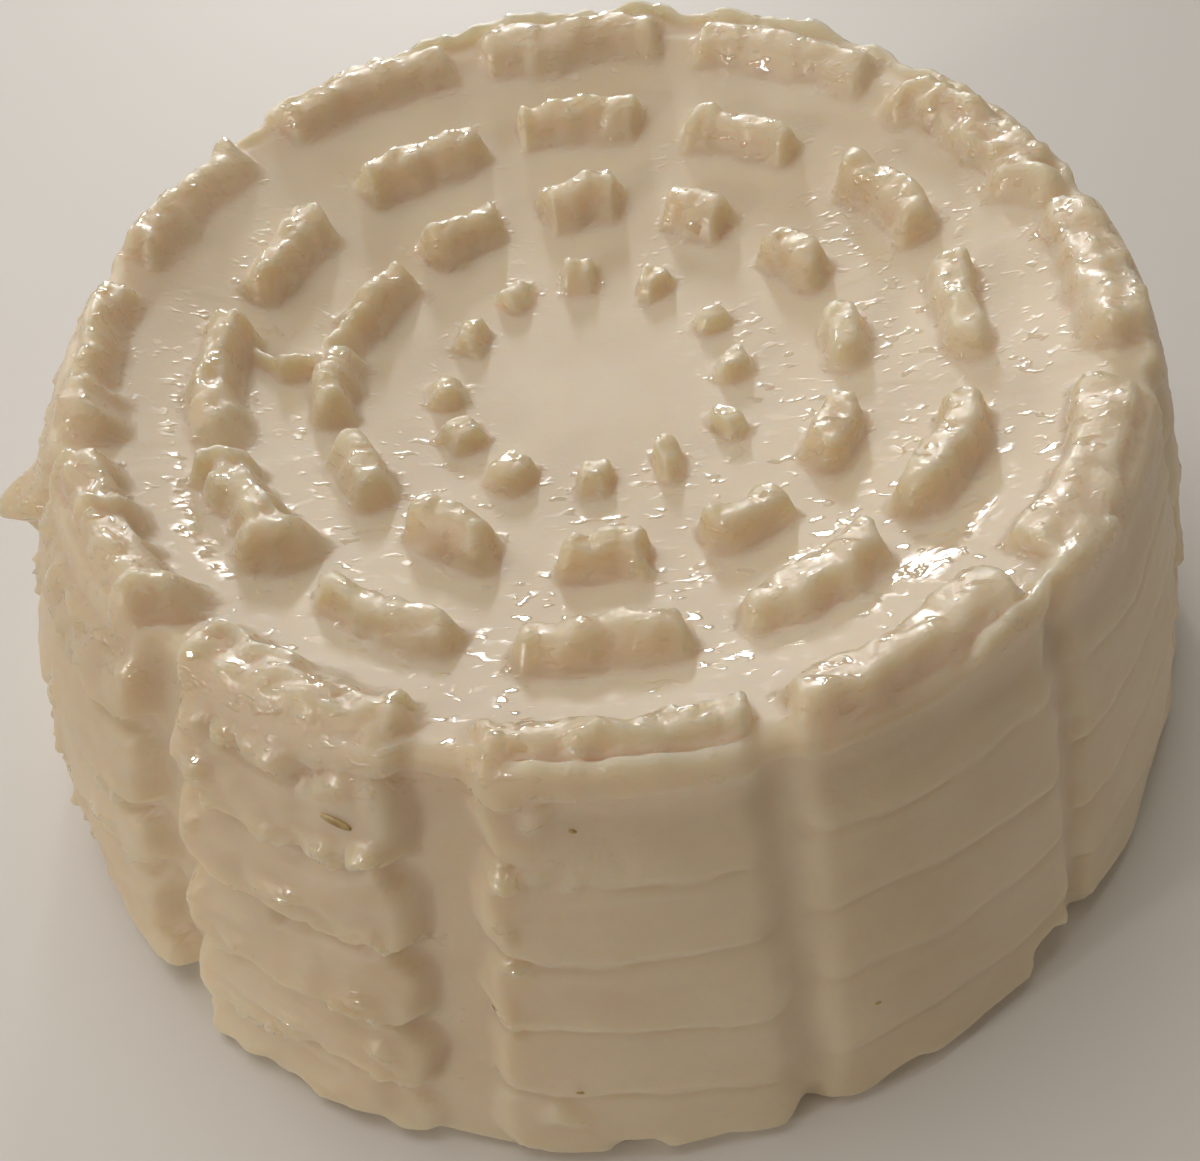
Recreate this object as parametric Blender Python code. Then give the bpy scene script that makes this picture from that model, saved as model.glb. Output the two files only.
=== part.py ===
"""A round of queso fresco, a fresh curd cheese, as it stands after it is turned out of its draining basket.

The basket's twelve ribs leave upright channels down the side and spokes across the top. Between them the curd
has pressed out through the basket's slots: as rings of raised blocks on the dished top, and as lapping bands
round the side. The cheese is one solid, lofted between two profiles that share their count of points. One
profile runs along a rib's channel, and the other runs over the blocks and the bands between two ribs.
"""

import math
import random
from typing import NamedTuple

import bmesh
import bpy

# The round as a whole, in metres
SECTORS = 12
RIM_HEIGHT = 0.0470  # of the floor beside the rim, above the table
TOP_CHANNEL_RADIUS = 0.0520  # to the bottom of a channel, at the rim
BASE_CHANNEL_RADIUS = 0.0613  # to the bottom of a channel, at the base
DISH_RADIUS = 0.0501  # beyond which the top's floor is flat
DISH_DEPTH = 0.0085  # of the top's middle below the rim's floor
DISH_POWER = 2.5  # a nearly flat middle that rises ever faster to the rim
RIB_WIDTH = 0.0042  # of the bottom of a spoke or channel
WIDEST_RIB_ANGLE = math.radians(13)  # that a spoke takes up close to the middle

# The rings of blocks on the top, from the middle out: (inner foot, crest's middle, outer foot, height)
BLOCK_RINGS = (
    (0.0125, 0.0147, 0.0176, 0.0026),
    (0.0233, 0.0256, 0.0289, 0.0038),
    (0.0347, 0.0372, 0.0406, 0.0042),
    (0.0464, 0.0487, 0.0516, 0.0034),
)
CREST_WIDTH = 0.0012  # of a block's flat crest
END_LEAN = 0.0011  # how far the foot of a block's end stands out from its top edge
BLOCK_HEIGHT_SPREAD = 0.15  # share by which one block is taller or lower than another

# The panels between the channels, each with five bands that flare to their lower edges
PANEL_RISE = 0.0016  # of a panel out of the channels beside it
LIP_RISE = 0.0008  # of the crest along a panel's top edge, above the rim's floor
BAND_FLARE = 0.0007
BAND_STEP = 0.0007  # height of the step at a band's lower edge
BAND_EDGES = (0.0353, 0.0252, 0.0160, 0.0072)  # heights of the lower edges, but for the lowest band's
EDGE_ROUNDING = 0.0012
BASE_ROUNDING = 0.0020

COLUMNS_ON_PANEL = (0.0, 1 / 3, 2 / 3, 1.0)  # places of the mesh's columns across a block or panel
CURD = (0.83, 0.73, 0.56, 1.0)
CREASE_ANGLE = math.radians(35)


class Level(NamedTuple):
    """One ring of the mesh. Points are (radius, height)."""

    rib: tuple  # the point along a rib
    ground: tuple  # the point under a block or panel
    rise: tuple  # how far the block or panel stands out from there
    shares: tuple = (1,) * SECTORS  # for each sector, the share of that rise that it reaches


def clear_scene():
    for old in list(bpy.data.objects):
        bpy.data.objects.remove(old)


def uneven_shares(spread, seed):
    """For each sector, a share of a little more or less than 1."""
    draw = random.Random(seed)
    return tuple(1 + spread * draw.uniform(-1, 1) for _ in range(SECTORS))


def floor_point(radius):
    """The point of the dished top's floor at this distance from the middle."""
    share = min(1.0, radius / DISH_RADIUS)
    return radius, RIM_HEIGHT - DISH_DEPTH * (1 - share**DISH_POWER)


def channel_point(height):
    """The point of a side channel's bottom at this height."""
    share = height / RIM_HEIGHT
    return BASE_CHANNEL_RADIUS + (TOP_CHANNEL_RADIUS - BASE_CHANNEL_RADIUS) * share, height


def block_levels():
    """Four rings of the mesh for each ring of blocks: inner foot, two top edges and outer foot.

    Along a rib the points are drawn in by one share all the way, to end at the channel's own radius.
    """
    drawn_in = TOP_CHANNEL_RADIUS / (TOP_CHANNEL_RADIUS + PANEL_RISE)
    for number, (inner, crest, outer, height) in enumerate(BLOCK_RINGS):
        shares = uneven_shares(BLOCK_HEIGHT_SPREAD, number)
        half_crest = CREST_WIDTH / 2
        for radius, rise in ((inner, 0), (crest - half_crest, height), (crest + half_crest, height), (outer, 0)):
            yield Level(floor_point(radius * drawn_in), floor_point(radius), (0, rise), shares)


def lip_levels():
    """Three rings over the rim: the lip's crest, its outer shoulder and the start of the side."""
    foot = BLOCK_RINGS[-1][2]
    edge = TOP_CHANNEL_RADIUS + PANEL_RISE
    drawn_in = TOP_CHANNEL_RADIUS / edge
    for share, rise in ((0.45, LIP_RISE), (0.80, LIP_RISE * 0.6), (1.0, -EDGE_ROUNDING)):
        radius = foot + (edge - foot) * share
        rib_radius, rib_height = floor_point(radius * drawn_in)
        sunk = EDGE_ROUNDING * share**2
        yield Level((rib_radius, rib_height - sunk), floor_point(radius), (0, rise))


def side_levels():
    """Two rings for each band down the side, and the two at the base."""
    for edge in BAND_EDGES:
        for height, rise in ((edge + BAND_STEP, PANEL_RISE + BAND_FLARE), (edge, PANEL_RISE)):
            yield Level(channel_point(height), channel_point(height), (rise, 0))
    rounded = channel_point(BASE_ROUNDING)
    yield Level(rounded, rounded, (PANEL_RISE + BAND_FLARE, 0))
    base = (BASE_CHANNEL_RADIUS - BASE_ROUNDING, 0.0)
    yield Level(base, base, (PANEL_RISE, 0))


def sector_columns(radius):
    """(angle from the sector's middle, whether it is on the panel) from one rib's middle to the next rib."""
    half_sector = math.pi / SECTORS
    half_rib = min(WIDEST_RIB_ANGLE / 2, math.asin(RIB_WIDTH / 2 / radius))
    foot = half_sector - half_rib
    edge = foot - END_LEAN / radius
    yield -half_sector, False
    yield -foot, False
    for share in COLUMNS_ON_PANEL:
        yield edge * (2 * share - 1), True
    yield foot, False


def add_ring(mesh, level):
    """One closed ring of vertices round the cheese."""
    ring = []
    for sector in range(SECTORS):
        share = level.shares[sector]
        panel = [at + share * rise for at, rise in zip(level.ground, level.rise)]
        for offset, on_panel in sector_columns(level.ground[0]):
            radius, height = panel if on_panel else level.rib
            angle = 2 * math.pi * sector / SECTORS + offset
            ring.append(mesh.verts.new((radius * math.cos(angle), radius * math.sin(angle), height)))
    return ring


def bridge(mesh, upper, lower):
    """Quads between two rings, of which the first lies higher up or nearer the top's middle."""
    for i, corner in enumerate(upper):
        j = (i + 1) % len(upper)
        mesh.faces.new((corner, lower[i], lower[j], upper[j]))


def fan(mesh, ring, height, faces_up):
    """Triangles from a ring to a point in its middle."""
    middle = mesh.verts.new((0, 0, height))
    for i, corner in enumerate(ring):
        following = ring[(i + 1) % len(ring)]
        mesh.faces.new((middle, corner, following) if faces_up else (middle, following, corner))


def curd_material():
    material = bpy.data.materials.new("fresh_curd")
    material.use_nodes = True
    shader = material.node_tree.nodes["Principled BSDF"]
    shader.inputs["Base Color"].default_value = CURD
    shader.inputs["Roughness"].default_value = 0.35
    shader.inputs["Metallic"].default_value = 0.0
    return material


def build_cheese():
    levels = [*block_levels(), *lip_levels(), *side_levels()]
    mesh = bmesh.new()
    rings = [add_ring(mesh, level) for level in levels]
    for upper, lower in zip(rings, rings[1:]):
        bridge(mesh, upper, lower)
    fan(mesh, rings[0], floor_point(0)[1], faces_up=True)
    fan(mesh, rings[-1], 0.0, faces_up=False)
    data = bpy.data.meshes.new("queso_fresco")
    mesh.to_mesh(data)
    mesh.free()
    data.shade_smooth()
    data.set_sharp_from_angle(angle=CREASE_ANGLE)
    data.materials.append(curd_material())
    cheese = bpy.data.objects.new("queso_fresco", data)
    bpy.context.scene.collection.objects.link(cheese)


clear_scene()
build_cheese()
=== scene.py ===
"""The looks of a round of queso fresco, a fresh curd cheese just turned out of its draining basket.

Places on the cheese are given as on a clock face seen from above: 12 o'clock is at the back, 3 at the right
and 6 at the front. Each hour is the middle of one block or panel. The basket's ribs lie on the half hours.
Lengths are in metres, but for tables with a value for each hour or a row for each fold, line, crack, film,
lump, hollow or speck, which are in millimetres.
"""

import math
from types import SimpleNamespace
from typing import NamedTuple

import bpy
import numpy as np
from mathutils import Matrix, Quaternion, Vector, noise


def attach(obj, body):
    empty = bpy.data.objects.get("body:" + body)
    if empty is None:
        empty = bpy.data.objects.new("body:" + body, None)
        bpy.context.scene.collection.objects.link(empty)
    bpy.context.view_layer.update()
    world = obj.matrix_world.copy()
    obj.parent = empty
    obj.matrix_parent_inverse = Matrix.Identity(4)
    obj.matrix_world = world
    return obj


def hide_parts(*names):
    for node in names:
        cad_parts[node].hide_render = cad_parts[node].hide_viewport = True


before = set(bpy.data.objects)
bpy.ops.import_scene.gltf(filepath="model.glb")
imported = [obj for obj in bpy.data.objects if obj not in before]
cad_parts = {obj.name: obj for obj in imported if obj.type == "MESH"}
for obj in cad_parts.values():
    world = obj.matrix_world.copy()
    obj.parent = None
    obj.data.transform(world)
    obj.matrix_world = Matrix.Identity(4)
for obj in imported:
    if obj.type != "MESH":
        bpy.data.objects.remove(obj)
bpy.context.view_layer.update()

MM = 0.001

# The round, as the basket shaped it
SECTORS = 12
HOUR = math.tau / SECTORS  # angle from one hour to the next
RIM_HEIGHT = 47.0 * MM
RIM_RADIUS = 52.5 * MM
BASE_RADIUS = 62.0 * MM
FLAT_RIM = 50.1 * MM  # radius from which the dished top is flat
DISH_DEPTH = 8.5 * MM
DISH_POWER = 2.5
EDGE_ROUNDING = 2.0 * MM
BASE_ROUNDING = 2.2 * MM
RIB_WIDTH = 4.0 * MM
WIDEST_RIB_ANGLE = math.radians(13)
# Each ring of blocks: (inner foot, crest and outer foot by radius, height)
BLOCK_RINGS = (
    (12.4 * MM, 14.4 * MM, 17.4 * MM, 2.5 * MM),
    (23.3 * MM, 25.3 * MM, 28.9 * MM, 4.0 * MM),
    (34.7 * MM, 36.6 * MM, 40.6 * MM, 4.3 * MM),
    (46.4 * MM, 48.4 * MM, 51.6 * MM, 3.0 * MM),
)
OUTER_RING = 3
BAND_EDGES = (47.0 * MM, 35.3 * MM, 25.2 * MM, 16.0 * MM, 7.2 * MM, 0.0)

# How the round differs from hour to hour, from 12 o'clock on, in millimetres
RIM_REACH = (3.2, 2.9, 2.4, 2.7, 2.4, 1.2, 0.8, 0.2, 1.1, 0.6, 0.8, 1.8)  # past the rim's radius
BASE_REACH = (0.2, 0.2, 0.2, 0.5, -0.8, -0.2, 0.8, 0.7, -0.7, 0.3, 0.2, 0.2)  # past the base's radius
BELLY = (0.3, 0.3, 0.6, 1.2, 0.6, 0.2, 0.0, 0.0, 2.3, 1.9, 0.5, 0.3)  # outward, half way up
LIP = (2.0, 1.7, 1.2, 0.5, 0.3, 0.1, 1.4, 0.3, 0.5, 0.6, 0.9, 1.5)  # the rim's crest, above its floor
VALLEY = (0.0, 0.0, 0.0, 0.0, 0.0, 0.0, 1.4, 0.3, 0.3, 0.1, 0.0, 0.0)  # width, between outer blocks and rim
END_SLOPE = (1.3, 1.5, 2.2, 2.8, 2.8, 2.4, 2.2, 3.4, 3.6, 3.6, 2.2, 1.6)  # width of a block's front end
BACK_END_SLOPE = 1.4 * MM  # and of its back end
SOFTNESS = (0.5, 0.7, 1.1, 1.5, 1.5, 1.1, 0.7, 0.7, 0.5, 0.4, 0.5, 0.5)  # how rounded the blocks are
RING_SOFTNESS = (1.8, 1.3, 1.0, 1.0)  # likewise, by ring from the middle out
HEIGHTS = (0.85, 0.82, 0.85, 0.9, 0.95, 1.0, 1.0, 1.0, 0.95, 0.92, 0.9, 0.87)  # of the blocks, as shares
BROADNESS = (1.0, 1.0, 1.2, 1.7, 2.0, 2.4, 1.1, 1.7, 1.3, 1.0, 1.0, 1.0)  # of the outer blocks' crests
GRANULAR = (0.8, 0.8, 0.7, 0.45, 0.35, 0.3, 0.6, 0.6, 0.6, 0.7, 0.8, 0.8)  # how grainy the blocks are
BAND_FLARE = (0.7, 0.7, 0.7, 0.6, 0.4, 0.24, 0.28, 1.5, 1.5, 0.9, 0.7, 0.7)  # reach of a band's lower edge
UNDERCUT = (0.0, 0.0, 0.0, 0.3, 0.6, 1.1, 1.2, 0.0, 0.0, 0.0, 0.0, 0.0)  # of the side below the rim
LOBED = (0.5, 0.5, 0.4, 0.4, 0.3, 0.2, 0.2, 0.8, 0.8, 0.7, 0.6, 0.5)  # how far bands bulge rather than flare
CREASE = (0.4, 0.4, 0.4, 0.3, 0.25, 0.18, 0.25, 1.0, 0.9, 0.6, 0.4, 0.4)  # depth under a band's lower edge
CRUMBS = (0.4, 0.4, 0.4, 0.3, 0.2, 0.1, 0.15, 0.8, 0.8, 0.6, 0.5, 0.4)  # height of those along a band's edge
WHEY = (0.3, 0.4, 0.6, 0.9, 1.0, 1.0, 1.0, 1.0, 0.9, 0.4, 0.2, 0.2)  # how much of it wets the floor
TORN_TOP = (0.2, 0.2, 0.3, 0.3, 0.2, 0.0, 0.1, 0.8, 0.8, 0.5, 0.3, 0.2)  # roughness of the side under the rim
# How the channels differ: each value is for the rib half an hour on
CHANNEL = (0.8, 0.8, 0.8, 0.9, 1.0, 0.9, 1.6, 1.8, 1.2, 0.9, 0.8, 0.8)  # depth
CHANNEL_FOOT = (1.0, 1.0, 1.0, 1.0, 1.5, 0.7, 0.3, 2.2, 1.4, 1.0, 1.0, 1.0)  # depth at the base
CHANNEL_FLAT = (0.5, 0.5, 0.5, 0.5, 0.2, 0.4, 1.7, 0.5, 0.5, 0.5, 0.5, 0.5)  # half the width of its bottom
CHANNEL_FADE = (2.6, 2.6, 2.6, 2.6, 2.2, 3.0, 2.6, 2.8, 2.4, 2.6, 2.6, 2.6)  # width of each of its flanks
RIM_KEPT = (0.9, 0.8, 0.7, 0.5, 0.0, 0.0, 0.0, 0.0, 0.3, 0.6, 0.8, 0.9)  # share of the lip that crosses it

# The mesh that is pressed into that shape
FIRST_RING, SECOND_RING = 5 * MM, 10 * MM  # radius of the first rings of points round the top's middle
TOP_RINGS = 21  # from the second ring to the rim
SIDE_RINGS = 20  # from the rim to the base
BASE_RING = 0.9  # radius of the ring on the base, as a share of the rim's
SPIN_STEPS = 144
CUTS = 3  # of each of the spun mesh's edges
NEARLY = 0.001 * MM  # points this close count as one
WELL_INSIDE = 0.99  # share of the rim's radius, within the flats between the spun points

# The noise that makes the curd uneven
GRAIN_STEP, GRANULE_STEP = 17.3, 9.7  # from one seed's noise to the next one's
GRAIN_GAIN = 1.6  # brings the noise to a range of about -1 to 1
CREASE_SHARE = 0.45  # of a granule's size, over which it rises from the crease to its top


def deselect_all():
    if bpy.context.object and bpy.context.object.mode != "OBJECT":
        bpy.ops.object.mode_set(mode="OBJECT")
    bpy.ops.object.select_all(action="DESELECT")


# ---------------------------------------------------------------- the curd


def drum_profile():
    """Points (radius, height) of a plain drum."""
    points = [(0.0, RIM_HEIGHT), (FIRST_RING, RIM_HEIGHT)]
    points += [(radius, RIM_HEIGHT) for radius in np.linspace(SECOND_RING, RIM_RADIUS, TOP_RINGS)]
    points += [(RIM_RADIUS, height) for height in np.linspace(RIM_HEIGHT, 0, SIDE_RINGS)[1:]]
    points += [(BASE_RING * RIM_RADIUS, 0.0), (0.0, 0.0)]
    return points


def spin_drum(name):
    """A plain drum with a fine even skin: a point drawn out into a profile, and the profile spun."""
    profile = drum_profile()
    deselect_all()
    bpy.ops.mesh.primitive_plane_add(size=MM, location=(0, 0, RIM_HEIGHT))
    drum = bpy.context.object
    drum.name = drum.data.name = name
    bpy.ops.object.mode_set(mode="EDIT")
    bpy.ops.mesh.select_all(action="SELECT")
    bpy.ops.mesh.merge(type="CENTER")
    for start, end in zip(profile, profile[1:]):
        step = (end[0] - start[0], 0, end[1] - start[1])
        bpy.ops.mesh.extrude_region_move(TRANSFORM_OT_translate={"value": step})
    bpy.ops.mesh.select_all(action="SELECT")
    bpy.ops.mesh.spin(steps=SPIN_STEPS, angle=math.tau, center=(0, 0, 0), axis=(0, 0, 1))
    bpy.ops.mesh.select_all(action="SELECT")
    bpy.ops.mesh.remove_doubles(threshold=NEARLY)
    bpy.ops.mesh.normals_make_consistent(inside=False)
    bpy.ops.mesh.subdivide(number_cuts=CUTS)
    bpy.ops.object.mode_set(mode="OBJECT")
    bpy.ops.object.transform_apply(location=True, rotation=True, scale=True)
    return drum


def hour_of(angle):
    """The clock hour, from 0 to 12, of an angle that is counted from the right, anticlockwise."""
    return ((math.pi / 2 - angle) / HOUR) % SECTORS


def smooth(share):
    """0 below 0, 1 above 1 and a smooth rise between."""
    share = np.clip(share, 0, 1)
    return share * share * (3 - 2 * share)


class Skin:
    """The drum's points, with where each lies on the cheese."""

    def __init__(self, mesh):
        flat = np.zeros(len(mesh.vertices) * 3)
        mesh.vertices.foreach_get("co", flat)
        self.points = flat.reshape(-1, 3)
        x, y, self.height = self.points.T
        self.radius = np.hypot(x, y)
        self.angle = np.arctan2(y, x)
        self.hour = hour_of(self.angle)
        self.sector = np.round(self.hour).astype(int) % SECTORS
        self.off_hour = self.hour - np.round(self.hour)
        self.on_top = self.height > RIM_HEIGHT - NEARLY
        self.on_base = (self.height < NEARLY) & (self.radius < WELL_INSIDE * RIM_RADIUS)
        self.on_side = ~(self.on_top | self.on_base)

    def grain(self, size, seed, squash=(1, 1, 1)):
        """Smooth noise from about -1 to 1 with bumps of this size, drawn out along an axis by its squash."""
        spread = self.points / size / np.array(squash) + GRAIN_STEP * seed
        return GRAIN_GAIN * np.array([noise.noise(place) for place in spread.tolist()])

    def granules(self, size, seed):
        """Packed lumps of this size: 1 on their tops and 0 in the creases between them."""
        spread = self.points / size + GRANULE_STEP * seed
        nearest, second = np.array([noise.voronoi(place)[0][:2] for place in spread.tolist()]).T
        return smooth((second - nearest) / CREASE_SHARE)

    def around(self, values, unit=MM):
        """Values for the 12 hours, smoothly blended round the clock."""
        values = np.array(values) * unit
        before = np.floor(self.hour).astype(int) % SECTORS
        share = smooth(self.hour % 1)
        return values[before] * (1 - share) + values[(before + 1) % SECTORS] * share

    def at_half_hour(self, values, unit=MM):
        """The value of the nearest rib, which stands half an hour after the hour it is listed under."""
        return np.array(values)[np.floor(self.hour).astype(int) % SECTORS] * unit

    def from_rib(self, radius):
        """Distance along the arc from the middle line of the nearest rib."""
        return (0.5 - np.abs(self.off_hour)) * HOUR * radius


def half_rib(radius):
    return np.minimum(RIB_WIDTH / 2, WIDEST_RIB_ANGLE / 2 * radius)


def floor_height(radius):
    share = np.minimum(1, radius / FLAT_RIM)
    return RIM_HEIGHT - DISH_DEPTH * (1 - share**DISH_POWER)


def rounded_off(inside, size):
    """How far a rounded edge of this size falls back, at this distance inside it."""
    share = np.clip(1 - inside / size, 0, 1)
    return size * (1 - np.sqrt(1 - share**2))


def lesser(one, other, blend):
    """The smaller of two slopes, with the ridge where they meet rounded off."""
    share = np.clip(0.5 + (other - one) / (2 * blend), 0, 1)
    return other + (one - other) * share - blend * share * (1 - share)


# How torn and lumpy single blocks are, as (ring, hour); the rest are nearly whole
TORN = {
    (1, 9): 0.15,
    (1, 10): 0.15,
    (2, 1): 0.2,
    (2, 2): 0.3,
    (2, 8): 0.4,
    (2, 9): 0.2,
    (2, 10): 0.25,
    (3, 2): 0.7,
    (3, 3): 0.4,
    (3, 4): 0.2,
    (3, 6): 0.5,
    (3, 7): 0.5,
    (3, 8): 0.4,
    (3, 9): 0.35,
    (3, 10): 0.35,
}
WHOLE = 0.12
# Blocks that came out lower or taller than their ring, as a share of its height
STATURE = {
    (0, 0): 1.1,
    (1, 2): 1.1,
    (1, 9): 1.1,
    (2, 5): 0.85,
    (2, 7): 0.85,
    (3, 4): 0.8,
    (3, 5): 0.95,
    (3, 7): 0.75,
}

# Folds and torn lumps on the top: from (hour, radius) to (hour, radius), width and height
FOLDS = (
    (9.36, 39.6, 9.16, 31.0, 0.9, 1.3),
    (9.16, 31.0, 9.22, 27.6, 1.3, 2.4),
    (9.22, 27.6, 9.52, 25.6, 1.4, 3.0),
    (9.52, 25.6, 9.72, 25.2, 1.6, 3.6),
    (8.74, 37.8, 8.64, 37.0, 2.4, 3.4),
    (8.34, 39.2, 8.32, 35.6, 1.5, 4.0),
    (8.15, 38.2, 8.12, 35.2, 1.4, 3.7),
    (7.97, 38.0, 7.94, 35.0, 1.5, 3.7),
    (7.75, 38.4, 7.70, 36.0, 2.4, 4.6),
    (8.78, 48.8, 8.68, 48.6, 2.6, 3.8),
    (8.40, 51.0, 8.38, 48.0, 1.8, 3.4),
    (8.16, 49.5, 8.13, 47.6, 2.0, 3.7),
    (7.97, 49.8, 7.95, 48.0, 1.5, 2.6),
    (7.72, 50.4, 7.66, 48.0, 2.4, 4.0),
    (7.36, 51.0, 7.39, 47.8, 1.8, 3.0),
    (7.39, 47.8, 7.06, 47.0, 1.6, 3.2),
    (7.06, 47.0, 6.76, 47.6, 1.6, 2.0),
    (6.76, 47.6, 6.70, 49.6, 2.2, 1.3),
    (4.80, 53.4, 4.55, 53.2, 1.7, 2.3),
    (4.55, 53.2, 4.20, 54.0, 1.5, 2.3),
    (2.30, 47.5, 2.45, 50.5, 1.8, 2.8),
    (1.62, 47.8, 1.70, 50.5, 1.8, 2.8),
)

# Lines on the floor along which crumbs and beads of whey stand, from (hour, radius) to (hour, radius)
BEADED_LINES = (
    (7.53, 44.5, 7.56, 38.5),
    (7.56, 38.5, 7.62, 31.5),
    (7.60, 30.0, 7.64, 24.5),
    (7.62, 23.0, 7.60, 15.0),
    (6.62, 38.0, 6.66, 29.0),
    (6.52, 50.0, 6.50, 43.0),
    (6.40, 34.0, 6.44, 28.5),
    (5.62, 24.0, 5.64, 19.0),
    (5.52, 38.0, 5.54, 31.0),
    (4.50, 50.0, 4.47, 44.0),
    (4.50, 40.0, 4.52, 33.0),
    (4.50, 32.0, 4.53, 25.0),
    (4.28, 27.5, 4.30, 21.5),
    (3.62, 50.0, 3.66, 44.5),
    (3.55, 40.0, 3.60, 34.0),
    (3.50, 26.0, 3.52, 20.0),
    (3.22, 45.8, 3.20, 43.2),
    (3.10, 36.5, 3.12, 31.0),
    (3.02, 36.0, 3.00, 33.5),
    (2.82, 35.0, 2.80, 31.0),
    (2.68, 49.0, 2.66, 45.5),
    (2.33, 46.0, 2.31, 42.5),
    (2.30, 36.0, 2.30, 32.0),
    (2.03, 34.0, 2.00, 31.0),
    (1.58, 34.5, 1.57, 32.0),
    (8.47, 42.0, 8.50, 36.0),
    (9.45, 44.0, 9.46, 38.0),
    (9.45, 36.0, 9.48, 33.0),
    (4.00, 36.0, 4.50, 33.0),
    (4.55, 34.0, 5.20, 32.0),
    (6.35, 20.3, 5.80, 20.0),
    (7.00, 20.5, 7.35, 22.3),
    (2.60, 33.0, 1.60, 35.0),
)
BEADED_LINE_WIDTH = 0.8
# Cracks in the floor: the same ends, then width and depth
CRACKS = (
    (7.06, 40.6, 6.38, 35.4, 0.7, 0.5),
    (6.50, 31.0, 6.42, 28.0, 0.7, 0.6),
    (6.14, 30.8, 6.02, 28.2, 0.8, 0.9),
)
STROKE_WANDER = 0.5 * MM  # how far folds, cracks and lines stray from straight
STROKE_SPREAD = 1.35  # half the breadth of one at its foot, for each unit of its width
STROKE_FOOT = 0.3  # share of that half over which it rises from the floor


def strokes(skin, radius, table):
    """Height of the folds, cracks or lines in a table, each a rounded ridge from one place to another."""
    x = radius * np.sin(skin.hour * HOUR) + skin.grain(2.6 * MM, 31) * STROKE_WANDER
    y = radius * np.cos(skin.hour * HOUR) + skin.grain(2.6 * MM, 32) * STROKE_WANDER
    waves = 1 + 0.12 * skin.grain(2.2 * MM, 33) + 0.08 * skin.grain(1.2 * MM, 34)
    relief = np.zeros(len(radius))
    for hour, start, end_hour, end, width, height in table:
        from_x, from_y = start * MM * math.sin(hour * HOUR), start * MM * math.cos(hour * HOUR)
        step_x = end * MM * math.sin(end_hour * HOUR) - from_x
        step_y = end * MM * math.cos(end_hour * HOUR) - from_y
        share = ((x - from_x) * step_x + (y - from_y) * step_y) / (step_x**2 + step_y**2)
        share = np.clip(share, 0, 1)
        apart = np.hypot(x - from_x - share * step_x, y - from_y - share * step_y)
        slope = np.clip(1 - apart / (STROKE_SPREAD * width * MM), 0, 1)
        body = 0.5 * smooth(slope) + 0.5 * np.sin(slope * math.pi / 2)
        relief = np.maximum(relief, height * MM * body * smooth(slope / STROKE_FOOT) * waves)
    return relief


# How far the blocks of a ring differ from each other
BLOCK_SPREADS = {
    "shift_along": (-0.6 * MM, 0.6 * MM),
    "shift_across": (-0.35 * MM, 0.35 * MM),
    "crest_shift": (-0.4 * MM, 0.8 * MM),
    "stature": (0.88, 1.1),
    "tilt": (-0.16, 0.16),
    "length": (0.9, 1.06),
}
CREST_LEAN = 0.7 * MM  # of the blocks' crests, towards the back
OUTER_FOOT_INSET = 0.9 * MM  # of the outer blocks' feet from the top's edge
LONGEST_END = 0.6  # share of half a block's length that its sloping end may take up
CLOD_MIDDLE = 0.6  # height of a clod that leaves its block as tall as it is
BLOCK_ROUGHNESS = 0.45  # of a whole block
FOLD_ROUGHNESS = 0.9


def block_noise(skin):
    """How the blocks' outlines wander, whole or torn, and the waves, grains and clods of their tops."""
    return SimpleNamespace(
        along=skin.grain(6 * MM, 1) * 0.9 * MM + skin.grain(2.1 * MM, 2) * 0.35 * MM,
        across=skin.grain(6 * MM, 3) * 0.7 * MM + skin.grain(2.3 * MM, 4) * 0.3 * MM,
        torn_along=skin.grain(2.7 * MM, 8) * 1.3 * MM,
        torn_across=skin.grain(2.9 * MM, 9) * 1.1 * MM,
        waves=0.6 * skin.grain(3.1 * MM, 5) + 0.4 * skin.grain(1.7 * MM, 6),
        grains=skin.granules(1.7 * MM, 7),
        clods=skin.granules(4.2 * MM, 10),
    )


def lay_out_blocks(skin, radius, ring, draw, wander):
    """For each point, what sets its block of this ring apart, and where on the block it lies."""
    own = {name: draw.uniform(*spread, SECTORS) for name, spread in BLOCK_SPREADS.items()}
    own["stature"] *= [STATURE.get((ring, hour), 1) for hour in range(SECTORS)]
    own["torn"] = np.array([TORN.get((ring, hour), WHOLE) for hour in range(SECTORS)])
    block = SimpleNamespace(**{name: values[skin.sector] for name, values in own.items()})
    inner, _, outer, _ = BLOCK_RINGS[ring]
    middle = (inner + outer) / 2
    block.soft = skin.around(SOFTNESS, unit=1) * RING_SOFTNESS[ring]
    block.length *= HOUR / 2 * middle - half_rib(middle)
    block.along = skin.off_hour * HOUR * middle + block.shift_along
    block.along += wander.along + block.torn * wander.torn_along
    block.across = radius + block.shift_across + wander.across + block.torn * wander.torn_across
    return block


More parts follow.
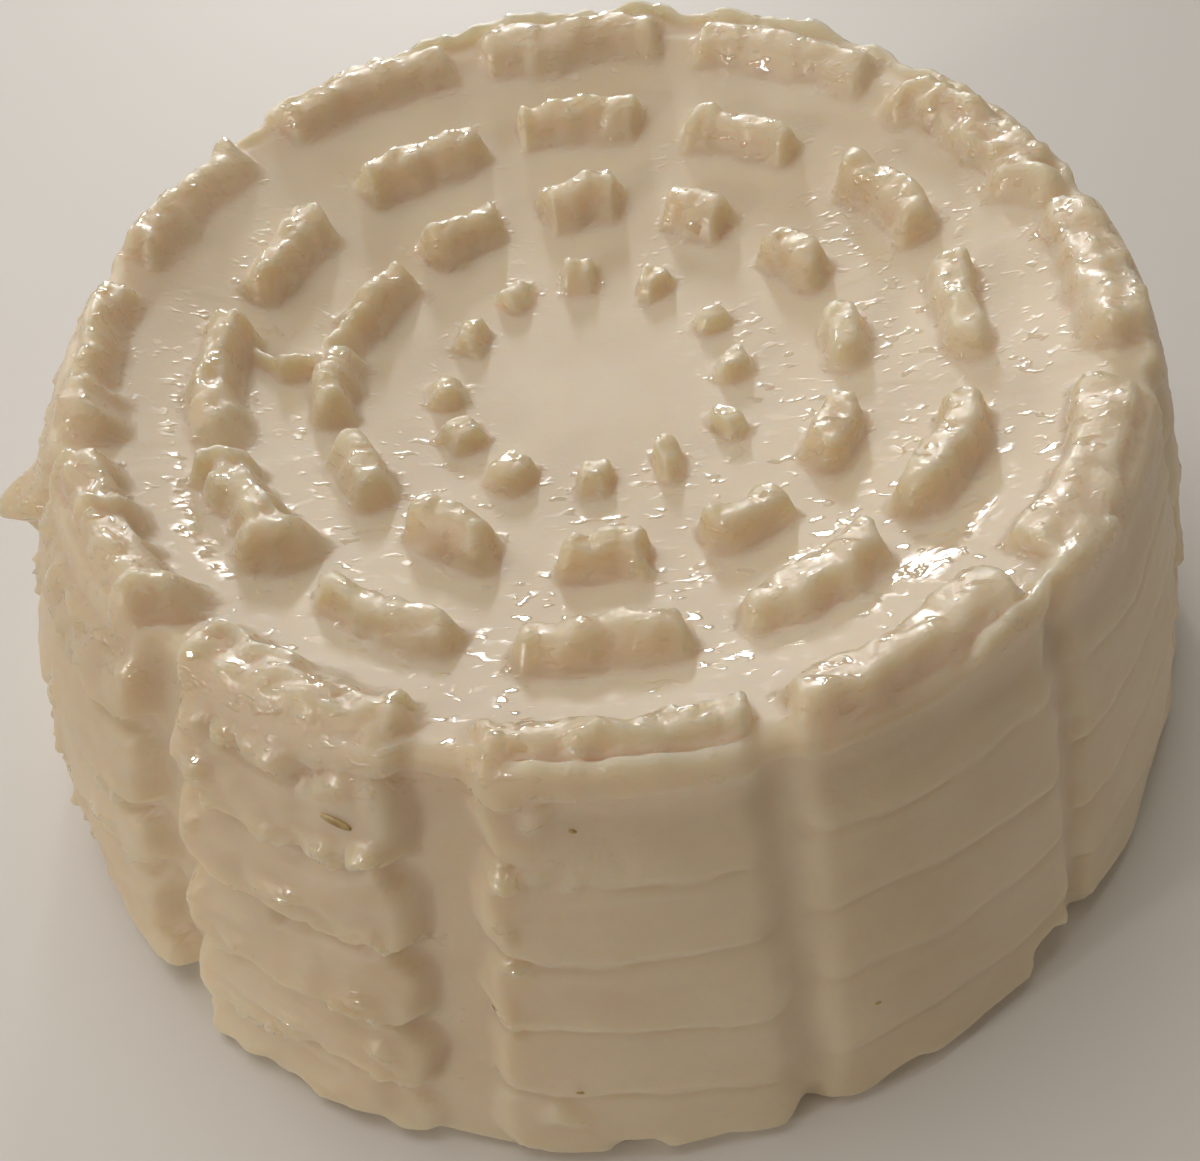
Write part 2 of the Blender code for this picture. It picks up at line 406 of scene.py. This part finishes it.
def block_slope(skin, block, ring, edge):
    """How far up its block's slopes each point lies: 0 at the foot, 1 at the crest and below 0 outside."""
    inner, crest, outer, _ = BLOCK_RINGS[ring]
    crest = crest + block.crest_shift + CREST_LEAN * np.cos(skin.hour * HOUR)
    broad = 1
    if ring == OUTER_RING:
        outer = np.maximum(outer, edge - OUTER_FOOT_INSET - skin.around(VALLEY))
        broad = skin.around(BROADNESS, unit=1)
    inner_slope = (block.across - inner) / (crest - inner)
    outer_slope = broad * (outer - block.across) / (outer - crest)
    frontward = np.where(skin.sector <= SECTORS / 2, 1, -1)
    end = np.where(block.along * frontward > 0, skin.around(END_SLOPE), BACK_END_SLOPE)
    end = np.minimum(end, LONGEST_END * block.length)
    end_slope = (block.length - np.abs(block.along)) / end
    blend = 0.25 + 0.45 * block.soft
    return lesser(lesser(inner_slope, outer_slope, blend), end_slope, blend) / (1 - blend / 4)


def block_height(skin, block, slope, ring, wander):
    """Height of a ring's blocks above the floor."""
    share = np.clip(slope * (1 + 0.25 * block.soft), 0, 1)
    body = 0.7 * smooth(share) + 0.3 * np.sin(share * math.pi / 2)
    body *= smooth(share / (0.3 + 0.35 * block.soft))
    waves = 0.4 * wander.waves + 0.35 * (wander.clods - CLOD_MIDDLE)
    uneven = 1 + (0.2 + block.torn) * waves + block.tilt * block.along / block.length
    crest = BLOCK_RINGS[ring][-1] * block.stature * skin.around(HEIGHTS, unit=1) * uneven
    return body * (crest + (0.225 + 0.3 * block.torn) * skin.around(GRANULAR) * wander.grains)


def block_relief(skin, radius, edge):
    """Height of the blocks and folds above the floor, and how rough and how beaded each point is."""
    draw = np.random.default_rng(5)
    wander = block_noise(skin)
    relief, rough, beaded = np.zeros((3, len(radius)))
    for ring in range(len(BLOCK_RINGS)):
        block = lay_out_blocks(skin, radius, ring, draw, wander)
        slope = block_slope(skin, block, ring, edge)
        on_block = np.clip(BLOCK_ROUGHNESS + block.torn, 0, 1)
        at_foot = BLOCK_ROUGHNESS * smooth(1 + slope / 0.5)
        rough = np.maximum(rough, np.where(slope > 0, on_block, at_foot))
        beaded = np.maximum(beaded, 0.8 * smooth((slope + 0.7) / 0.5))
        relief = np.maximum(relief, block_height(skin, block, slope, ring, wander))
    folds = strokes(skin, radius, FOLDS)
    rough = np.where(folds > relief, FOLD_ROUGHNESS, rough)
    relief = np.maximum(relief, folds)
    return relief - strokes(skin, radius, CRACKS), rough, beaded


# Films of whey on the floor: hour, radius, half length along the ring and half width
PUDDLES = (
    (4.90, 41.4, 8.5, 1.5),
    (4.55, 42.4, 4.0, 2.0),
    (5.15, 40.6, 3.5, 1.2),
    (4.28, 43.6, 3.0, 0.9),
    (7.74, 42.4, 1.6, 1.1),
    (7.95, 43.0, 3.2, 0.5),
    (8.10, 41.8, 3.0, 0.7),
    (8.30, 41.2, 1.0, 0.8),
)


def puddles(skin, radius):
    """1 where whey stands as a film on the floor, and 0 elsewhere."""
    off_radius = skin.grain(2.0 * MM, 61, squash=(2, 1, 1)) * 0.9 * MM
    film = np.zeros(len(radius))
    for hour, middle, half_length, half_width in PUDDLES:
        along = (skin.hour - hour) * HOUR * radius
        apart = np.hypot(along / half_length, (radius - middle * MM + off_radius) / half_width) / MM
        film = np.maximum(film, smooth((1.1 - apart) / 0.3))
    return film


# Lumps on the side: hour, height, reach outward, half width and half height
SIDE_LUMPS = (
    (6.28, 46.0, 1.2, 2.6, 3.4),
    (6.20, 43.0, 0.7, 2.2, 2.0),
    (6.31, 36.4, 1.3, 1.8, 1.3),
    (6.22, 36.7, 0.8, 1.8, 0.9),
    (6.12, 36.4, 0.5, 2.0, 0.8),
    (6.30, 25.4, 0.7, 1.8, 0.9),
    (6.34, 20.5, 0.5, 1.2, 2.0),
    (6.22, 6.4, 0.7, 2.6, 1.1),
    (6.72, 46.4, 1.0, 1.8, 1.5),
    (6.70, 37.6, 1.2, 1.8, 1.4),
    (6.84, 36.6, 0.7, 2.2, 1.0),
    (6.74, 26.8, 0.6, 1.8, 1.1),
    (7.02, 28.6, 0.6, 3.4, 1.2),
    (7.18, 45.2, 1.0, 2.6, 2.2),
    (7.00, 44.0, 0.8, 2.2, 2.6),
    (7.30, 39.6, 0.8, 2.0, 1.6),
    (7.18, 18.6, 0.6, 2.4, 1.4),
    (7.05, 11.2, 0.6, 3.0, 1.3),
    (8.68, 38.0, 3.7, 3.4, 3.8),
    (8.60, 39.5, 1.6, 3.0, 3.0),
    (6.78, 18.8, 0.5, 1.6, 1.8),
    (6.74, 12.0, 0.5, 1.6, 1.2),
    (7.36, 31.5, 0.6, 1.4, 1.4),
    (7.38, 22.5, 0.6, 1.4, 1.4),
    (6.36, 16.8, 0.5, 1.2, 1.0),
    (6.33, 30.5, 0.5, 1.0, 2.4),
    (8.10, 30.0, 0.7, 2.6, 1.6),
    (7.80, 22.0, 0.7, 2.6, 1.6),
    (8.20, 14.0, 0.7, 3.0, 1.6),
)

# Hollows in the side, likewise
SIDE_HOLLOWS = (
    (6.02, 0.5, 1.5, 3.0, 3.0),
    (5.52, 0.5, 1.2, 2.4, 4.0),
    (7.44, 1.0, 2.8, 2.2, 4.5),
    (5.20, 0.5, 0.9, 3.5, 2.5),
    (4.64, 1.0, 2.4, 3.4, 4.5),
    (7.05, 46.0, 1.0, 2.2, 1.5),
    (6.92, 42.6, 0.7, 1.6, 1.6),
)


def side_lumps(skin, height, table):
    """How far the lumps in a table reach outward."""
    off_hour = skin.grain(3 * MM, 41) * 0.7 * MM
    off_height = skin.grain(3 * MM, 42) * 0.5 * MM
    relief = np.zeros(len(height))
    for hour, level, reach, half_width, half_height in table:
        along = (skin.hour - hour) * HOUR * BASE_RADIUS + off_hour
        apart = np.hypot(along / half_width, (height - level * MM + off_height) / half_height) / MM
        relief = np.maximum(relief, reach * MM * smooth(1.15 - apart))
    return relief


# The top
LIP_WIDTH = 1.3 * MM  # of each of its slopes
SPOKE_DEPTH, SPOKE_FADE = 0.04 * MM, 0.4 * MM  # of a rib's trace on the floor, and the width of its slopes
SPOKE_START, SPOKE_RUN_IN = 24 * MM, 4 * MM  # from the middle: where the traces begin and how slowly
# The side
UNDERCUT_HEIGHT, UNDERCUT_REACH = 41.5 * MM, 6 * MM  # middle of the undercut and half its height
TORN_TOP_START, TORN_TOP_FADE = 41 * MM, 3 * MM  # lower edge of the torn zone under the rim
CHANNEL_FOOT_START, CHANNEL_FOOT_RUN = 4 * MM, 9 * MM  # where the channels change from one depth to the other
BAND_WANDER = 1.3 * MM  # how far a panel's bands sit above or below the next panel's
ROUND_ENDS = 2.4  # how far a band's corners are cut back, for each unit of its flare
LOWEST_CRUMBS, CRUMBS_FADE = 5 * MM, 2 * MM  # height above which crumbs cling, and how slowly they set in
BASE_WAVES, BASE_WAVES_TOP = 0.5 * MM, 9 * MM  # depth of the base's waves, and the height that they end at
# The whey
DRY_MIDDLE, DRY_FADE = 9 * MM, 6 * MM  # radius within which the floor has no beads
BLOCK_WETNESS = 0.62  # of a block's wettest patches
WET_FROM = 0.8 * MM  # height on a block by which its skin is wet


def panel_share(skin, gap):
    """0 in a channel's flat bottom and 1 on a panel, from the distance to the channel's middle."""
    return smooth((gap - skin.at_half_hour(CHANNEL_FLAT)) / skin.at_half_hour(CHANNEL_FADE))


def press_top(skin, radius, edge, on_panel):
    """Height of the top's points, the part of it that is blocks, and the roughness and beads there."""
    floor = floor_height(radius) + skin.grain(14 * MM, 12) * 0.12 * MM + skin.grain(5 * MM, 13) * 0.03 * MM
    spoke = smooth((half_rib(radius) - skin.from_rib(radius)) / SPOKE_FADE)
    floor -= SPOKE_DEPTH * spoke * smooth((radius - SPOKE_START) / SPOKE_RUN_IN)
    blocks, rough, beaded = block_relief(skin, radius, edge)
    kept = skin.at_half_hour(RIM_KEPT, unit=1)
    lip = smooth(1 - np.abs(radius - edge + LIP_WIDTH) / LIP_WIDTH) * (kept + (1 - kept) * on_panel)
    lip *= skin.around(LIP) * (1 + 0.45 * skin.grain(5 * MM, 14) + 0.3 * skin.grain(1.9 * MM, 15))
    height = floor + np.maximum(blocks, lip) - rounded_off(edge - radius, EDGE_ROUNDING)
    return height, blocks, rough, beaded


def find_bands(skin, height):
    """The band that each point of the side lies in, and how far down the band it lies, from 0 to 1."""
    lift, tilt = (np.random.default_rng(8).uniform(-1, 1, (SECTORS, 2)) * BAND_WANDER)[skin.sector].T
    level = height + lift + tilt * skin.off_hour * 2 + skin.grain(13 * MM, 21) * 1.2 * MM
    level += skin.grain(4 * MM, 22) * 0.4 * MM + skin.grain(1.8 * MM, 28) * skin.around(BAND_FLARE) * 0.25
    edges = np.array(BAND_EDGES)
    band = np.clip(np.searchsorted(-edges, -level) - 1, 0, len(edges) - 2)
    return band, np.clip((edges[band] - level) / (edges[band] - edges[band + 1]), 0, 1)


def band_relief(skin, height, band, down):
    """How far the bands reach out from a panel, and where along their edges crumbs cling, from 0 to 1."""
    flared = down**1.3 * smooth((1 - down) / 0.14)
    lobe = np.sin(math.pi * down**1.2) ** 0.7
    shape = flared + (lobe - flared) * skin.around(LOBED, unit=1)
    lumps = skin.grain(2.4 * MM, 24) + skin.grain(6 * MM, 26)
    flare = skin.around(BAND_FLARE) * shape * (1 + 0.4 * lumps * down)
    near_edge = np.minimum(down, 1 - down)
    flare -= skin.around(CREASE) * (1 - smooth(near_edge / 0.09)) * (band > 0)
    at_edge = smooth((down - 0.62) / 0.2) * smooth((1 - down) / 0.07)
    crumbs = at_edge * smooth((skin.grain(5 * MM, 43) + 0.35) / 0.5) * skin.granules(1.5 * MM, 44)
    crumbs *= smooth((height - LOWEST_CRUMBS) / CRUMBS_FADE)
    return flare + skin.around(CRUMBS) * crumbs, crumbs


def press_side(skin, height, rim_radius, base_radius):
    """Radius of the side's points, and how torn the curd is there, from 0 to 1."""
    share = skin.height / RIM_HEIGHT
    girth = base_radius + (rim_radius - base_radius) * share
    girth += skin.around(BELLY) * 4 * share * (1 - share)
    girth -= skin.around(UNDERCUT) * smooth(1 - np.abs(height - UNDERCUT_HEIGHT) / UNDERCUT_REACH)
    band, down = find_bands(skin, height)
    relief, crumbs = band_relief(skin, height, band, down)
    relief += skin.grain(1.3 * MM, 25, squash=(6, 6, 1)) * 0.1 * MM
    torn_top = smooth((height - TORN_TOP_START) / TORN_TOP_FADE) * skin.around(TORN_TOP)
    relief += torn_top * (skin.granules(3.2 * MM, 29) - 0.5 + 0.35 * skin.grain(1.7 * MM, 30))
    round_ends = ROUND_ENDS * np.abs(2 * down - 1) ** 3 * skin.around(BAND_FLARE)
    panel = panel_share(skin, skin.from_rib(girth) + skin.grain(3 * MM, 23) * 0.4 * MM - round_ends)
    above = smooth((height - CHANNEL_FOOT_START) / CHANNEL_FOOT_RUN)
    depth = skin.at_half_hour(CHANNEL_FOOT) * (1 - above) + skin.at_half_hour(CHANNEL) * above
    lumps = side_lumps(skin, height, SIDE_LUMPS)
    radius = girth + panel * relief - depth * (1 - panel) - rounded_off(height, BASE_ROUNDING)
    radius += skin.grain(8 * MM, 27) * BASE_WAVES * smooth(1 - height / BASE_WAVES_TOP)
    radius += lumps - side_lumps(skin, height, SIDE_HOLLOWS)
    torn = np.maximum(smooth(torn_top / (0.5 * MM)), smooth(lumps / (0.4 * MM)))
    torn = np.maximum(torn, crumbs * smooth(skin.around(CRUMBS) / (0.5 * MM)))
    return radius, depth, torn


def wet_look(skin, radius, blocks, rough, beaded, torn):
    """For each of the material's inputs, a value from 0 to 1 at each point."""
    film = puddles(skin, radius)
    patches = 0.12 + 0.88 * smooth((skin.grain(4 * MM, 51) - 0.05) / 0.4)
    patches *= smooth((radius - DRY_MIDDLE) / DRY_FADE) * skin.around(WHEY, unit=1)
    on_block = smooth(blocks / WET_FROM) * (0.35 + 0.65 * smooth((skin.grain(2.4 * MM, 52) - 0.05) / 0.4))
    lines = smooth(4 * strokes(skin, radius, [(*ends, BEADED_LINE_WIDTH, 1) for ends in BEADED_LINES]) / MM)
    beads = np.max([beaded, patches, film, lines], axis=0)
    return {
        "rough": np.where(skin.on_top, rough, 0.2 + 0.5 * torn),
        "wet": np.where(skin.on_top, np.maximum(film, BLOCK_WETNESS * on_block), 0.15 + 0.5 * torn),
        "beaded": np.where(skin.on_top, beads, 0.1 + 0.8 * torn),
        "film": np.where(skin.on_top, film, 0),
    }


def press(skin):
    """Where the basket and the curd put the drum's points, and how each of them looks."""
    rim_radius = RIM_RADIUS + skin.around(RIM_REACH)
    base_radius = BASE_RADIUS + skin.around(BASE_REACH)
    on_panel = panel_share(skin, skin.from_rib(rim_radius) + skin.grain(4 * MM, 11) * 0.4 * MM)
    edge = rim_radius - skin.at_half_hour(CHANNEL) * (1 - on_panel)
    top_radius = np.where(skin.on_top, skin.radius / RIM_RADIUS * edge, skin.radius)
    top_height, blocks, rough, beaded = press_top(skin, top_radius, edge, on_panel)
    side_height = skin.height / RIM_HEIGHT * (RIM_HEIGHT - EDGE_ROUNDING)
    side_radius, depth, torn = press_side(skin, side_height, rim_radius, base_radius)
    base_edge = base_radius - depth * (1 - on_panel) - BASE_ROUNDING
    faces = [skin.on_top, skin.on_side, skin.on_base]
    radius = np.select(faces, [top_radius, side_radius, skin.radius / RIM_RADIUS * base_edge])
    height = np.select(faces, [top_height, side_height, 0])
    places = np.stack([radius * np.cos(skin.angle), radius * np.sin(skin.angle), height], axis=1)
    return places, wet_look(skin, top_radius, blocks, rough, beaded, torn)


def build_curd():
    curd = spin_drum("curd")
    skin = Skin(curd.data)
    places, looks = press(skin)
    curd.data.vertices.foreach_set("co", places.ravel())
    for name, values in looks.items():
        curd.data.attributes.new(name, "FLOAT", "POINT").data.foreach_set("value", values)
    curd.data.update()
    deselect_all()
    curd.select_set(True)
    bpy.context.view_layer.objects.active = curd
    bpy.ops.object.shade_smooth()
    return curd


# Specks on the side: hour, height, and half the length, width and thickness
SPECKS = (
    (6.80, 40.0, 1.5, 0.45, 0.15),
    (6.10, 40.8, 0.35, 0.2, 0.12),
    (6.16, 9.8, 0.4, 0.22, 0.12),
    (6.40, 19.2, 0.4, 0.22, 0.12),
    (5.30, 13.0, 0.35, 0.2, 0.12),
)
HOUR_ON_SIDE = 30 * MM  # arc from one hour to the next
SPECK_LEAN = (0.25, 0.0, 1.0)  # direction that the specks lie across
SPECK_FOOT = -0.3  # height of its flat foot, for a speck of unit radius


def model_speck(name):
    """A ball of unit radius, cut flat below its middle."""
    deselect_all()
    bpy.ops.mesh.primitive_ico_sphere_add(subdivisions=2, radius=1, location=(0, 0, 0))
    speck = bpy.context.object
    speck.name = speck.data.name = name
    bpy.ops.object.mode_set(mode="EDIT")
    bpy.ops.mesh.select_all(action="SELECT")
    bpy.ops.mesh.bisect(plane_co=(0, 0, SPECK_FOOT), plane_no=(0, 0, 1), clear_inner=True, use_fill=True)
    bpy.ops.mesh.select_all(action="SELECT")
    bpy.ops.mesh.quads_convert_to_tris()
    bpy.ops.object.mode_set(mode="OBJECT")
    return speck


def scatter(model, places, upward, leaning, sizes):
    """Turns the model into one mesh with a copy of it at each place, its x axis square to the lean."""
    corners = np.array([corner.co for corner in model.data.vertices])
    faces = np.array([face.vertices for face in model.data.polygons])
    across = np.cross(upward, leaning)
    across /= np.linalg.norm(across, axis=1, keepdims=True)
    axes = np.stack([across, np.cross(upward, across), upward], axis=1)
    scaled = corners[None] * sizes[:, None]
    points = places[:, None] + np.einsum("nik,nkj->nij", scaled, axes)
    steps = np.arange(len(places))[:, None, None] * len(corners)
    mesh = model.data
    mesh.clear_geometry()
    mesh.from_pydata(points.reshape(-1, 3).tolist(), [], (faces[None] + steps).reshape(-1, 3).tolist())
    mesh.shade_smooth()
    return model


def read_points(curd):
    """Places and normals of the curd's points."""
    places = np.zeros(len(curd.data.vertices) * 3)
    normals = np.zeros(len(curd.data.vertices) * 3)
    curd.data.vertices.foreach_get("co", places)
    curd.data.vertex_normals.foreach_get("vector", normals)
    return places.reshape(-1, 3), normals.reshape(-1, 3)


def build_specks(curd):
    """Bits of rind from the basket that stick to the side."""
    places, normals = read_points(curd)
    hour = hour_of(np.arctan2(places[:, 1], places[:, 0]))
    on_side = np.hypot(places[:, 0], places[:, 1]) > RIM_RADIUS
    table = np.array(SPECKS)
    chosen = []
    for at_hour, height in table[:, :2]:
        apart = np.hypot((hour - at_hour) * HOUR_ON_SIDE, places[:, 2] - height * MM)
        chosen.append(int(np.argmin(np.where(on_side, apart, np.inf))))
    leaning = np.tile(SPECK_LEAN, (len(chosen), 1))
    return scatter(model_speck("specks"), places[chosen], normals[chosen], leaning, table[:, 2:] * MM)


# ---------------------------------------------------------------- materials


class Shade:
    """An output of one of a material's nodes. Arithmetic on it adds Math nodes."""

    def __init__(self, recipe, socket):
        self.recipe = recipe
        self.socket = socket

    def _math(self, operation, *values):
        return self.recipe.add("ShaderNodeMath", {"operation": operation}, dict(enumerate(values)))

    def __add__(self, other):
        return self._math("ADD", self, other)

    def __mul__(self, other):
        return self._math("MULTIPLY", self, other)

    def __rsub__(self, other):
        return self._math("SUBTRACT", other, self)

    def capped(self, limit):
        return self._math("MINIMUM", self, limit)


class Recipe:
    """A material in the making."""

    def __init__(self, name):
        self.material = bpy.data.materials.new(name)
        self.material.use_nodes = True
        self.tree = self.material.node_tree
        self.shader = self.tree.nodes["Principled BSDF"]

    def add(self, kind, settings=None, inputs=None, output=0):
        """Adds a node: its settings first, then its sockets' values or links."""
        node = self.tree.nodes.new(kind)
        for name, value in (settings or {}).items():
            if name == "stops":
                ramp = node.color_ramp
                while len(ramp.elements) < len(value):
                    ramp.elements.new(0.5)
                for element, (position, colour) in zip(ramp.elements, value):
                    element.position = position
                    element.color = colour
            else:
                setattr(node, name, value)
        self.fill(node, inputs or {})
        return Shade(self, node.outputs[output])

    def fill(self, node, inputs):
        for name, value in inputs.items():
            if isinstance(value, Shade):
                self.tree.links.new(value.socket, node.inputs[name])
            else:
                node.inputs[name].default_value = value

    def finish(self, inputs):
        self.fill(self.shader, inputs)
        return self.material


DEEP_CURD = (0.76, 0.63, 0.45, 1)
PALE_CURD = (0.85, 0.74, 0.565, 1)
DRY_ROUGHNESS = 0.62
RIND_BROWN = (0.40, 0.26, 0.10, 1)
RIND_YELLOW = (0.60, 0.45, 0.18, 1)
TABLE_SHADES = ((0.80, 0.79, 0.77, 1), (0.84, 0.83, 0.81, 1))


def curd_finish():
    recipe = Recipe("wet_curd")
    place = recipe.add("ShaderNodeTexCoord", output="Object")
    rough, wet, beaded, film = (
        recipe.add("ShaderNodeAttribute", {"attribute_name": name}, output="Fac")
        for name in ("rough", "wet", "beaded", "film")
    )
    cloud = recipe.add("ShaderNodeTexNoise", {}, {"Vector": place, "Scale": 60.0, "Detail": 4.0})
    tint = recipe.add(
        "ShaderNodeValToRGB",
        {"stops": [(0.3, DEEP_CURD), (0.7, PALE_CURD)]},
        {"Fac": cloud},
    )
    # Pores all over, ripples drawn out along one direction, and beads where the whey stands
    pores = recipe.add("ShaderNodeTexNoise", {}, {"Vector": place, "Scale": 1900.0, "Detail": 0.0})
    drawn = recipe.add(
        "ShaderNodeMapping",
        {"vector_type": "TEXTURE"},
        {"Vector": place, "Rotation": (0, 0, math.radians(22)), "Scale": (2.6, 1.0, 1.0)},
    )
    ripple = recipe.add("ShaderNodeTexNoise", {}, {"Vector": drawn, "Scale": 800.0, "Detail": 1.0})
    stretched = recipe.add("ShaderNodeMapping", {}, {"Vector": place, "Scale": (0.6, 1.0, 1.0)})
    bead_cells = recipe.add("ShaderNodeTexNoise", {}, {"Vector": stretched, "Scale": 900.0, "Detail": 1.0})
    bead = recipe.add(
        "ShaderNodeMapRange",
        {"interpolation_type": "SMOOTHSTEP"},
        {"Value": bead_cells, "From Min": 0.55, "From Max": 0.68},
    )
    bead = bead * beaded
    ripples = ripple * (rough * 0.25 + film * 0.6 + 0.06)
    relief = pores * (rough * 0.2 + 0.03) + ripples + bead * 0.35
    bump = recipe.add("ShaderNodeBump", {}, {"Height": relief, "Strength": 0.8, "Distance": 0.3 * MM})
    return recipe.finish(
        {
            "Base Color": tint,
            "Roughness": DRY_ROUGHNESS - (wet * 0.48 + bead * 0.48).capped(0.52),
            "Specular IOR Level": 0.45,
            "IOR": 1.4,
            "Subsurface Weight": 0.85,
            "Subsurface Radius": (1.0, 0.7, 0.4),
            "Subsurface Scale": 5 * MM,
            "Normal": bump,
        }
    )


def speck_finish():
    recipe = Recipe("speck")
    place = recipe.add("ShaderNodeTexCoord", output="Object")
    cloud = recipe.add("ShaderNodeTexNoise", {}, {"Vector": place, "Scale": 900.0})
    tint = recipe.add(
        "ShaderNodeValToRGB",
        {"stops": [(0.35, RIND_BROWN), (0.65, RIND_YELLOW)]},
        {"Fac": cloud},
    )
    return recipe.finish({"Base Color": tint, "Roughness": cloud * 0.3 + 0.25, "IOR": 1.4})


# ---------------------------------------------------------------- table, light and camera


def build_table():
    deselect_all()
    bpy.ops.mesh.primitive_plane_add(size=4, location=(0, 0, 0))
    table = bpy.context.object
    table.name = table.data.name = "table"
    recipe = Recipe("pale_table")
    place = recipe.add("ShaderNodeTexCoord", output="Object")
    cloud = recipe.add("ShaderNodeTexNoise", {}, {"Vector": place, "Scale": 9.0})
    tint = recipe.add(
        "ShaderNodeValToRGB",
        {"stops": [(0.3, TABLE_SHADES[0]), (0.7, TABLE_SHADES[1])]},
        {"Fac": cloud},
    )
    table.data.materials.append(recipe.finish({"Base Color": tint, "Roughness": 0.7}))


class Lamp(NamedTuple):
    """A soft rectangular lamp that points at the cheese. Its power is in watts."""

    name: str
    place: tuple
    width: float
    depth: float
    power: float
    colour: tuple
    only_gloss: bool = False  # whether it shows only as glints on the wet curd
    roll: float = 0.0


DAYLIGHT = (1.0, 0.98, 0.95)
WINDOW_LEAN = math.radians(-16)
LAMPS = (
    Lamp("window", (-0.066, 0.752, 0.362), 0.05, 0.15, 9.5, DAYLIGHT, only_gloss=True, roll=WINDOW_LEAN),
    Lamp("second_window", (-0.55, 0.55, 0.42), 0.08, 0.05, 4.0, DAYLIGHT, only_gloss=True),
    Lamp("side_window", (-0.75, -0.45, 0.35), 0.08, 0.08, 1.05, (1.0, 0.92, 0.84)),
    Lamp("side_glints", (-0.62, -0.60, 0.32), 0.08, 0.06, 4.4, (1.0, 0.96, 0.92), only_gloss=True),
    Lamp("overhead", (-0.2, 0.25, 0.9), 0.8, 0.8, 4.3, (1.0, 0.95, 0.90)),
    Lamp("fill", (-0.62, -0.68, 0.12), 0.8, 0.3, 0.5, (1.0, 0.71, 0.44)),
    Lamp("right_fill", (0.85, -0.15, 0.15), 0.5, 0.3, 0.3, (1.0, 0.85, 0.72)),
)
ROOM_COLOUR = (0.9, 0.79, 0.64, 1)
ROOM_STRENGTH = 0.16


def add_lamp(lamp):
    data = bpy.data.lights.new(lamp.name, "AREA")
    data.shape = "RECTANGLE"
    data.size = lamp.width
    data.size_y = lamp.depth
    data.energy = lamp.power
    data.color = lamp.colour
    holder = bpy.data.objects.new(lamp.name, data)
    holder.visible_diffuse = not lamp.only_gloss
    holder.location = lamp.place
    aim = Vector((0, 0, RIM_HEIGHT)) - holder.location
    facing = aim.to_track_quat("-Z", "Y") @ Quaternion((0, 0, 1), lamp.roll)
    holder.rotation_euler = facing.to_euler()
    bpy.context.scene.collection.objects.link(holder)


def light_studio():
    for lamp in LAMPS:
        add_lamp(lamp)
    world = bpy.data.worlds.new("pale_room")
    world.use_nodes = True
    background = world.node_tree.nodes["Background"]
    background.inputs["Color"].default_value = ROOM_COLOUR
    background.inputs["Strength"].default_value = ROOM_STRENGTH
    bpy.context.scene.world = world
    bpy.context.scene.view_settings.view_transform = "Standard"


CAMERA_DISTANCE = 170.9 * MM  # from the point on the cheese's axis that it circles
CAMERA_CENTRE_HEIGHT = 44.7 * MM  # of that point
CAMERA_ELEVATION = math.radians(42.46)
CAMERA_TURN = math.radians(3.1)  # about the cheese, towards the right
CAMERA_ROLL = math.radians(6.72)
AIM_RIGHT = 0.61 * MM  # from that point to where the camera aims, before its roll
AIM_UP = -6.28 * MM
FRAME_WIDTH = 1200  # pixels
FOCAL_LENGTH = 1716.1  # pixels
AXIS_ABOVE_MIDDLE = 180.5  # pixels by which the lens's axis lies above the frame's middle


def add_camera():
    data = bpy.data.cameras.new("camera")
    data.lens = FOCAL_LENGTH / FRAME_WIDTH * data.sensor_width
    data.shift_y = -AXIS_ABOVE_MIDDLE / FRAME_WIDTH
    data.clip_start = 0.01
    camera = bpy.data.objects.new("camera", data)
    sine, cosine = math.sin(CAMERA_ELEVATION), math.cos(CAMERA_ELEVATION)
    place = CAMERA_DISTANCE * Vector((0, -cosine, sine))
    aim = Vector((AIM_RIGHT, 0, 0)) + AIM_UP * Vector((0, sine, cosine))
    facing = (aim - place).to_track_quat("-Z", "Y").to_matrix().to_4x4()
    turned = Matrix.Rotation(CAMERA_TURN, 4, "Z")
    lifted = Matrix.Translation((0, 0, CAMERA_CENTRE_HEIGHT))
    camera.matrix_world = (
        lifted @ turned @ Matrix.Translation(place) @ facing @ Matrix.Rotation(-CAMERA_ROLL, 4, "Z")
    )
    bpy.context.scene.collection.objects.link(camera)
    bpy.context.scene.camera = camera


curd = build_curd()
curd.data.materials.append(curd_finish())
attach(curd, "root")
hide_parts("queso_fresco")
specks = build_specks(curd)
specks.data.materials.append(speck_finish())
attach(specks, "root")
build_table()
light_studio()
add_camera()
